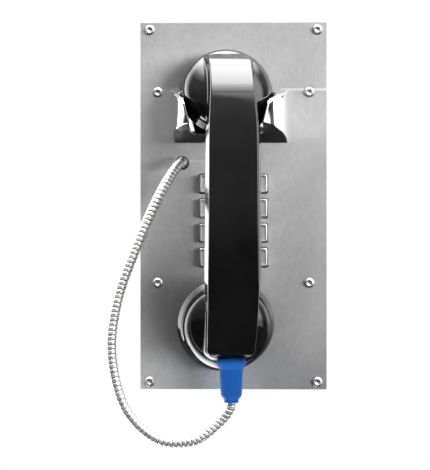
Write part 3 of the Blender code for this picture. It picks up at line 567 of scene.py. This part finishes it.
def moulded(name, dark, light, roughness, grain=700, gloss=0.3):
    """Plain moulded plastic or rubber with a fine grain and a little colour drift."""
    made, tree, base = shader(name, light, roughness)
    drift = texture(tree, "Noise", (50, 50, 50), Scale=1.0, Detail=5.0)
    tint(tree, base, drift.outputs["Fac"], dark, light)
    tree.links.new(spread(tree, drift.outputs["Fac"], roughness * 0.85, roughness * 1.15),
                   base.inputs["Roughness"])
    fine = texture(tree, "Noise", (grain, grain, grain), Scale=1.0, Detail=2.0)
    bump(tree, base, fine.outputs["Fac"], 0.00005, 0.4)
    base.inputs["Specular IOR Level"].default_value = gloss
    return made


def zinc_plate():
    made, tree, base = shader("zinc_plate", (0.6, 0.6, 0.57), 0.32, 1.0)
    crystal = texture(tree, "Voronoi", (420, 420, 420), Scale=1.0)
    tint(tree, base, crystal.outputs["Color"], (0.50, 0.50, 0.47), (0.66, 0.66, 0.64), 0.1, 0.9)
    tree.links.new(spread(tree, crystal.outputs["Color"], 0.25, 0.42, 0.1, 0.9),
                   base.inputs["Roughness"])
    return made


def circuit_board():
    """Green solder mask over traces."""
    made, tree, base = shader("circuit_board", (0.01, 0.12, 0.05), 0.28)
    traces = texture(tree, "Brick", (240, 240, 240), Scale=1.0)
    traces.inputs["Mortar Size"].default_value = 0.09
    traces.inputs["Brick Width"].default_value = 1.9
    traces.inputs["Row Height"].default_value = 0.45
    weave = texture(tree, "Noise", (900, 900, 900), Scale=1.0, Detail=2.0)
    tint(tree, base, traces.outputs["Fac"], (0.008, 0.10, 0.04), (0.03, 0.24, 0.10), 0.1, 0.9)
    tree.links.new(spread(tree, weave.outputs["Fac"], 0.22, 0.36), base.inputs["Roughness"])
    bump(tree, base, traces.outputs["Fac"], 0.00003, 0.6)
    return made


def armour_steel():
    """Wound steel strip with painted shade: bright on the crowns, dark in the grooves."""
    made, tree, base = shader("armour_steel", (0.5, 0.5, 0.5), 0.4, 0.8)
    groove = tree.nodes.new("ShaderNodeAttribute")
    groove.attribute_name = "groove"
    # painted shade: the colour darkens from the crowns into the grooves
    tint(tree, base, groove.outputs["Fac"], (0.54, 0.54, 0.53), (0.20, 0.20, 0.20), 0.3, 1.0)
    scuff = texture(tree, "Noise", (500, 500, 500), Scale=1.0, Detail=3.0)
    tree.links.new(spread(tree, scuff.outputs["Fac"], 0.30, 0.48), base.inputs["Roughness"])
    return made


MATERIALS = {
    "brushed_steel": brushed_steel(), "cradle_chrome": cradle_chrome(),
    "screw_steel": screw_steel(), "black_plastic": black_plastic(),
    "zinc_plate": zinc_plate(), "circuit_board": circuit_board(), "armour_steel": armour_steel(),
    "blue_rubber": moulded("blue_rubber", (0.004, 0.062, 0.25), (0.006, 0.078, 0.31), 0.6, 500, 0.1),
    "grey_silicone": moulded("grey_silicone", (0.20, 0.21, 0.22), (0.27, 0.28, 0.29), 0.6),
    "dark_case": moulded("dark_case", (0.015, 0.015, 0.018), (0.035, 0.035, 0.04), 0.45),
    "green_case": moulded("green_case", (0.02, 0.25, 0.08), (0.04, 0.36, 0.13), 0.4),
    "paint": moulded("paint", (0.012, 0.012, 0.012), (0.03, 0.03, 0.03), 0.5),
}


def wear(obj, name):
    obj.data.materials.clear()
    obj.data.materials.append(MATERIALS[name])
    return obj


# ---------------------------------------------------------------- handset
def build_handset():
    shell = skin("handset_shell", handset_field, (-33, 2, -118), (33, 70, 112), 0.75, handset_to_row)
    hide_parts("handset_body")
    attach(wear(shell, "black_plastic"), "handset")
    for cap, node, rings in ((EAR, "ear_cap", (6, 12)), (MOUTH, "mouth_cap", (6, 12, 18))):
        build_cap(cap, node, rings)
    build_boot()


def build_cap(cap, node, rings):
    r, dome = cap["radius"], cap["dome"]
    slope = (r - 0.4 - dome) / 6.4
    edge = through([(r - 3, 0), (r - 1.2, 0.15), (r - 0.25, 0.6), (r, 1.4), (r - 0.25 * slope, 2.0),
                    (r - 2.2 * slope, 4.0), (r - 4.2 * slope, 6.0), (dome + 0.6, 7.4),
                    (dome + 0.35, 7.8)], 4)
    rest = [(dome, 7.6), (dome - 0.2, 6.6), (dome - 0.2, 2.2), (0, 2.2)]
    profile = [(0, 0), *edge, *rest]
    to_row = lambda points: handset_to_row(cap_to_handset(points, cap))
    cover = lathe("new_" + node, profile, to_row, steps=128)
    for count, reach in [(1, 0.0)] + [(n, n * 0.95) for n in rings]:
        for k in range(count):
            angle = 2 * math.pi * k / count
            bore = [(0, -2), (1.05, -2), (1.05, 4), (0, 4)]
            place = np.array([reach * math.cos(angle), reach * math.sin(angle), 0])
            drill = lathe("drill", bore, lambda points: to_row(points + place), steps=12)
            cut(cover, drill)
    crease(cover.data, 40)
    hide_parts(node)
    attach(wear(cover, "black_plastic"), "handset")


def cut(target, tool):
    boolean = target.modifiers.new("cut", "BOOLEAN")
    boolean.operation = "DIFFERENCE"
    boolean.solver = "EXACT"
    boolean.object = tool
    graph = bpy.context.evaluated_depsgraph_get()
    mesh = bpy.data.meshes.new_from_object(target.evaluated_get(graph))
    target.modifiers.clear()
    old, target.data = target.data, mesh
    bpy.data.meshes.remove(old)
    bpy.data.objects.remove(tool)


def build_boot():
    top, end = BOOT["top"], BOOT["end"]
    bore = CORD_RADIUS + 0.4
    shape = through([(7.6, top), (8.9, top - 0.5), (9.8, top - 1.7), (10.1, top - 2.8), (9.85, top - 3.8),
                     (9.2, top - 4.9), (8.2, top - 6.6), (7.75, top - 7.6), (7.6, top - 10),
                     (7.3, top - 17), (7.1, end + 6.2), (6.8, end + 4.6), (5.4, end + 2.6),
                     (4.9, end + 1.9), (4.75, end + 0.4), (4.5, end)], 4)
    profile = [(bore, top + 12), (5.6, top + 12), (5.6, top), *shape, (bore, end)]
    to_row = lambda points: handset_to_row(points[:, [0, 1, 2]] + np.array([BOOT["x"], BOOT["out"], 0]))
    boot = lathe("boot", profile, to_row, steps=96, closed=True, angle=50)
    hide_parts("cord_boot")
    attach(wear(boot, "blue_rubber"), "handset")


# ---------------------------------------------------------------- cord
def cord_path():
    x, height = CORD_HOLE
    hanging = [(-40.8, 13, 22.6), (-49.8, 25, 5), (-63.6, 33, -27), (-76.0, 37, -62), (-80.1, 39, -98),
               (-71.2, 39, -134), (-50.2, 38, -154.8), (-26.0, 37, -155.9)]
    start = [(x, -12.9, height), (x, -5.9, height), (x, 1, height), (x, 5, height)]
    row = panel_to_row(np.array(start + hanging, float))
    boot = handset_to_row(np.array([(BOOT["x"], BOOT["out"], BOOT["end"])], float))[0]
    lead = [(-8.2, 0, -13.4), (-1.0, 0, -4.4), (0, 0, 2), (0, 0, 9), (0, 0, 17)]
    return through(np.vstack([row, [boot + np.array(p) * MM for p in lead]]), 24)


def build_cord():
    """Interlocked steel strip wound round the path: each turn laps over the next."""
    path = cord_path()
    lengths = np.concatenate([[0], np.cumsum(np.linalg.norm(np.diff(path, axis=0), axis=1))])
    step = 0.28 * MM
    count = int(lengths[-1] / step)
    along = np.linspace(0, lengths[-1], count)
    centres = np.stack([np.interp(along, lengths, path[:, k]) for k in range(3)], 1)
    ahead = np.gradient(centres, axis=0)
    ahead /= np.linalg.norm(ahead, axis=1, keepdims=True)
    side = np.zeros_like(ahead)
    last = np.array([0.0, 0.0, 1.0])
    for k, direction in enumerate(ahead):
        last = last - direction * (last @ direction)
        last /= np.linalg.norm(last)
        side[k] = last
    other = np.cross(ahead, side)
    steps = 40
    turn = np.linspace(0, 2 * math.pi, steps, endpoint=False)
    phase = (along[:, None] / (CORD_PITCH * MM) - turn[None, :] / (2 * math.pi)) % 1.0
    crown = np.clip(np.minimum(phase / 0.22, (0.86 - phase) / 0.10), 0, 1)
    crown = np.sqrt(1 - (1 - crown)**2)
    radius = (CORD_RADIUS - GROOVE_DEPTH * (1 - crown)) * MM
    points = (centres[:, None] + side[:, None] * (radius * np.cos(turn))[..., None]
              + other[:, None] * (radius * np.sin(turn))[..., None]).reshape(-1, 3)
    index = np.arange(count * steps).reshape(count, steps)
    near, far = index[:-1], index[1:]
    quads = np.stack([near, np.roll(near, -1, 1), np.roll(far, -1, 1), far], -1).reshape(-1, 4)
    faces = quads.tolist() + [index[0][::-1].tolist(), index[-1].tolist()]
    cord = make_object("steel_cord", points, faces)
    # the groove attribute also sets the painted shade in the grooves
    attribute = cord.data.attributes.new("groove", "FLOAT", "POINT")
    attribute.data.foreach_set("value", (1 - crown).astype(np.float32).ravel())
    cord.data.shade_smooth()
    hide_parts("armored_cord")
    wear(cord, "armour_steel")
    x, height = CORD_HOLE
    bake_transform(cord)

    bore = CORD_RADIUS + 0.5
    sleeve = [(bore, 0.2), (4.6, 0.2), (4.6, -2.1), (bore, -2.1)]
    to_row = lambda points: panel_to_row(points[:, [0, 2, 1]] + np.array([x, 0, height]))
    bushing = lathe("bushing", sleeve, to_row, steps=48, closed=True)
    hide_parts("cord_bushing")
    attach(wear(bushing, "dark_case"), "panel")


# ---------------------------------------------------------------- panel front
def build_cradle():
    low = (CRADLE_X - 41, -1.0, 41)
    high = (CRADLE_X + 41, CRADLE_REACH + 2, 81)
    cradle = skin("cradle_casting", cradle_field, low, high, 0.55, panel_to_row)
    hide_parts("cradle")
    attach(wear(cradle, "cradle_chrome"), "panel")


def build_key(label):
    low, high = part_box("key_" + label)
    x, height = (low.x + high.x) / 2, (low.z + high.z) / 2
    top = low.y
    loops = [(6.35, 1.3, 2.6), (6.35, 1.3, 0.75), (6.25, 1.25, 0.35), (6.0, 1.1, 0.1), (5.6, 1.0, 0.0),
             (5.3, 1.0, 0.02), (4.9, 1.0, 0.16), (4.2, 0.9, 0.2), (2.0, 0.5, 0.22)]
    points, faces = [], []
    for half, radius, depth in loops:
        points += [(x + a * MM, top + depth * MM, height + b * MM) for a, b in rounded_square(half, radius)]
    count = len(points) // len(loops)
    for k in range(len(loops) - 1):
        for s in range(count):
            t = (s + 1) % count
            a, b = k * count, (k + 1) * count
            faces.append((a + s, a + t, b + t, b + s))
    faces.append(list(range((len(loops) - 1) * count, len(points))))
    faces.append(list(range(count))[::-1])
    key = make_object("keycap_" + label, points, faces)
    mend(key.data)
    crease(key.data, 35)
    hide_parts("key_" + label)
    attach(wear(key, "brushed_steel"), "key_" + label)
    build_sign(label, x, top + 0.21 * MM, height)


def build_sign(label, x, y, height):
    """The key's number, as paint in a shallow engraving."""
    text = bpy.data.curves.new("sign", "FONT")
    text.body = KEY_SIGNS.get(label, label)
    text.size = 8.0 * MM
    text.align_x, text.align_y = "CENTER", "CENTER"
    text.extrude = 0.03 * MM
    helper = bpy.data.objects.new("sign", text)
    bpy.context.scene.collection.objects.link(helper)
    helper.location = (x, y, height)
    helper.rotation_euler = (math.pi / 2, 0, 0)
    bpy.context.view_layer.update()
    graph = bpy.context.evaluated_depsgraph_get()
    mesh = bpy.data.meshes.new_from_object(helper.evaluated_get(graph))
    mesh.transform(helper.matrix_world)
    bpy.data.objects.remove(helper)
    mend(mesh, weld=1e-7, outward=False)
    sign = bpy.data.objects.new("number_" + label, mesh)
    bpy.context.scene.collection.objects.link(sign)
    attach(wear(sign, "paint"), "key_" + label)


def build_screws():
    """Low domed heads with a dished middle."""
    head = through([(3.45, 0), (3.42, 0.5), (3.15, 1.05), (2.6, 1.5), (2.05, 1.65), (1.6, 1.55),
                    (1.0, 1.15), (0.5, 0.95)], 4)
    for kind, length in (("mounting_screw", 14.0), ("panel_screw", 10.0)):
        for corner in CORNERS:
            node = f"{kind}_{corner}"
            low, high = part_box(node)
            middle = np.array([(low.x + high.x) / 2, 0, (low.z + high.z) / 2]) / MM
            profile = [(0, -length), (1.7, -length), (1.7, 0), *head, (0, 0.9)]
            to_row = lambda points: (np.stack([points[:, 0], -PLATE_THICKNESS - 0.1 - points[:, 2],
                                               points[:, 1]], 1) + middle) * MM
            screw = lathe("bright_" + node, profile, to_row, steps=32)
            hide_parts(node)
            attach(wear(screw, "screw_steel"), "panel")


# ---------------------------------------------------------------- carried-over CAD nodes
CARRIED = {
    "face_plate": "brushed_steel", "cradle_screw_left": "zinc_plate", "cradle_screw_right": "zinc_plate",
    "cord_collar": "zinc_plate", "cord_lead": "dark_case", "keypad_frame": "dark_case",
    "keypad_membrane": "grey_silicone", "keypad_board": "circuit_board", "keypad_header": "dark_case",
    "keypad_ribbon": "dark_case", "lever_bracket": "zinc_plate", "lever_pin": "zinc_plate",
    "lever_spring": "zinc_plate", "hook_switch": "dark_case", "main_board": "circuit_board",
    "line_transformer": "dark_case", "terminal_block": "green_case", "hook_lever": "black_plastic",
    "switch_plunger": "grey_silicone", "receiver_capsule": "zinc_plate",
    "transmitter_capsule": "zinc_plate",
}


def dress_cad_nodes():
    for corner in CORNERS:
        for kind in ("standoff", "board_screw", "keypad_nut"):
            CARRIED[f"{kind}_{corner}"] = "zinc_plate"
    for node, name in CARRIED.items():
        wear(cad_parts[node], name)


# ---------------------------------------------------------------- studio
def studio_world():
    """Soft light from all round: bright overhead and to the sides, dim in front."""
    world = bpy.data.worlds.new("studio")
    bpy.context.scene.world = world
    world.use_nodes = True
    tree = world.node_tree
    back = tree.nodes["Background"]
    back.inputs["Color"].default_value = (1, 1, 1, 1)
    coords = tree.nodes.new("ShaderNodeTexCoord")
    split = tree.nodes.new("ShaderNodeSeparateXYZ")
    tree.links.new(coords.outputs["Generated"], split.inputs[0])

    def ramp(source, start, end, low, high):
        value = spread(tree, source, low, high, start, end)
        value.node.interpolation_type = "SMOOTHSTEP"
        return value

    x, y, z = (split.outputs[k] for k in range(3))
    # a dim room in front, lighter upwards and to the right, under a bright ceiling
    room = plus(tree, ramp(z, -0.12, 0.08, 0.03, 0.26), ramp(z, 0.15, 0.60, 0.0, 0.35))
    room = times(tree, room, ramp(x, -0.3, 0.35, 0.9, 1.1))
    parts = [ramp(z, 0.66, 0.79, 0.0, 2.0), ramp(z, 0.79, 0.81, 0.0, 3.0),
             ramp(z, 0.81, 0.90, 0.0, 5.0), ramp(z, 0.88, 0.94, 0.0, 6.5)]
    # soft boxes: behind on the left, beside on the right, low on the left, behind on the right
    parts.append(times(tree, ramp(y, -0.05, 0.40, 0.0, 5.0), ramp(x, -0.10, -0.30, 0.0, 1.0)))
    parts.append(times(tree, ramp(x, 0.45, 0.60, 0.0, 4.5), ramp(y, 0.05, -0.20, 0.0, 1.0),
                       ramp(z, -0.25, -0.20, 0.0, 1.0), ramp(z, -0.10, 0.05, 0.4, 1.0)))
    parts.append(times(tree, ramp(x, 0.05, -0.20, 0.0, 5.0), ramp(z, -0.25, -0.50, 0.0, 1.0),
                       ramp(y, 0.05, 0.30, 0.0, 1.0)))
    parts.append(times(tree, ramp(x, 0.15, 0.40, 0.0, 2.6), ramp(y, 0.35, 0.55, 0.0, 1.0),
                       ramp(z, -0.30, -0.20, 0.0, 1.0)))
    # the ceiling above the wall, and the white wall
    parts.append(times(tree, ramp(z, 0.66, 0.80, 0.0, 4.0), ramp(y, 0.0, 0.25, 0.0, 1.0),
                       ramp(x, -0.45, -0.25, 0.3, 1.0)))
    parts.append(times(tree, ramp(y, 0.50, 0.58, 0.0, 1.2), ramp(y, 0.80, 0.95, 1.0, 0.35)))
    glossy = plus(tree, room, *parts)
    diffuse = ramp(z, -0.4, 0.9, 0.3, 1.1)
    path = tree.nodes.new("ShaderNodeLightPath")
    level = choose(tree, path.outputs["Is Diffuse Ray"], diffuse, glossy)
    level = choose(tree, path.outputs["Is Camera Ray"], BACKDROP, level)
    tree.links.new(level, back.inputs["Strength"])


def add_light(name, place, target, size, energy):
    light = bpy.data.lights.new(name, "AREA")
    light.shape = "RECTANGLE"
    light.size, light.size_y = size
    light.energy = energy
    light.specular_factor = 0.0
    obj = bpy.data.objects.new(name, light)
    bpy.context.scene.collection.objects.link(obj)
    obj.location = place
    obj.rotation_euler = (Vector(target) - Vector(place)).to_track_quat("-Z", "Y").to_euler()
    return obj


def studio():
    studio_world()
    middle = Vector((0, 0, -ORIGIN_HEIGHT * MM))
    add_light("key_light", middle + Vector((0.5, -0.9, 0.9)), middle, (0.5, 0.5), 1.5)

    corners = [(a * FLOOR_REACH, b * FLOOR_REACH, FLOOR_HEIGHT)
               for a, b in ((-1, -1), (1, -1), (1, 1), (-1, 1))]
    floor = make_object("floor", corners, [(0, 1, 2, 3)])
    pale, tree, base = shader("pale_floor", (0.9, 0.9, 0.9), 0.7)
    speck = texture(tree, "Noise", (30, 30, 30), Scale=1.0, Detail=3.0)
    tint(tree, base, speck.outputs["Fac"], (0.88, 0.88, 0.88), (0.92, 0.92, 0.92))
    floor.data.materials.append(pale)
    floor.visible_glossy = False


def add_camera():
    """A long lens, almost square on to the plate and a little to its right."""
    camera = bpy.data.cameras.new("camera")
    camera.sensor_width = 36.0
    camera.lens = IMAGE_SCALE * CAMERA_DISTANCE / IMAGE_SIDE * camera.sensor_width
    camera.clip_start, camera.clip_end = 0.05, 20.0
    obj = bpy.data.objects.new("camera", camera)
    bpy.context.scene.collection.objects.link(obj)
    aim = Vector((-12.55 * MM, -PLATE_THICKNESS * MM, (-19.8 - ORIGIN_HEIGHT) * MM))
    obj.location = aim + Vector((32.5 * MM, -CAMERA_DISTANCE, 0))
    obj.rotation_euler = (aim - obj.location).to_track_quat("-Z", "Y").to_euler()
    bpy.context.scene.camera = obj


build_handset()
build_cord()
build_cradle()
for key_label in KEY_LABELS:
    build_key(key_label)
build_screws()
dress_cad_nodes()
studio()
add_camera()
bpy.context.scene.view_settings.view_transform = "Standard"
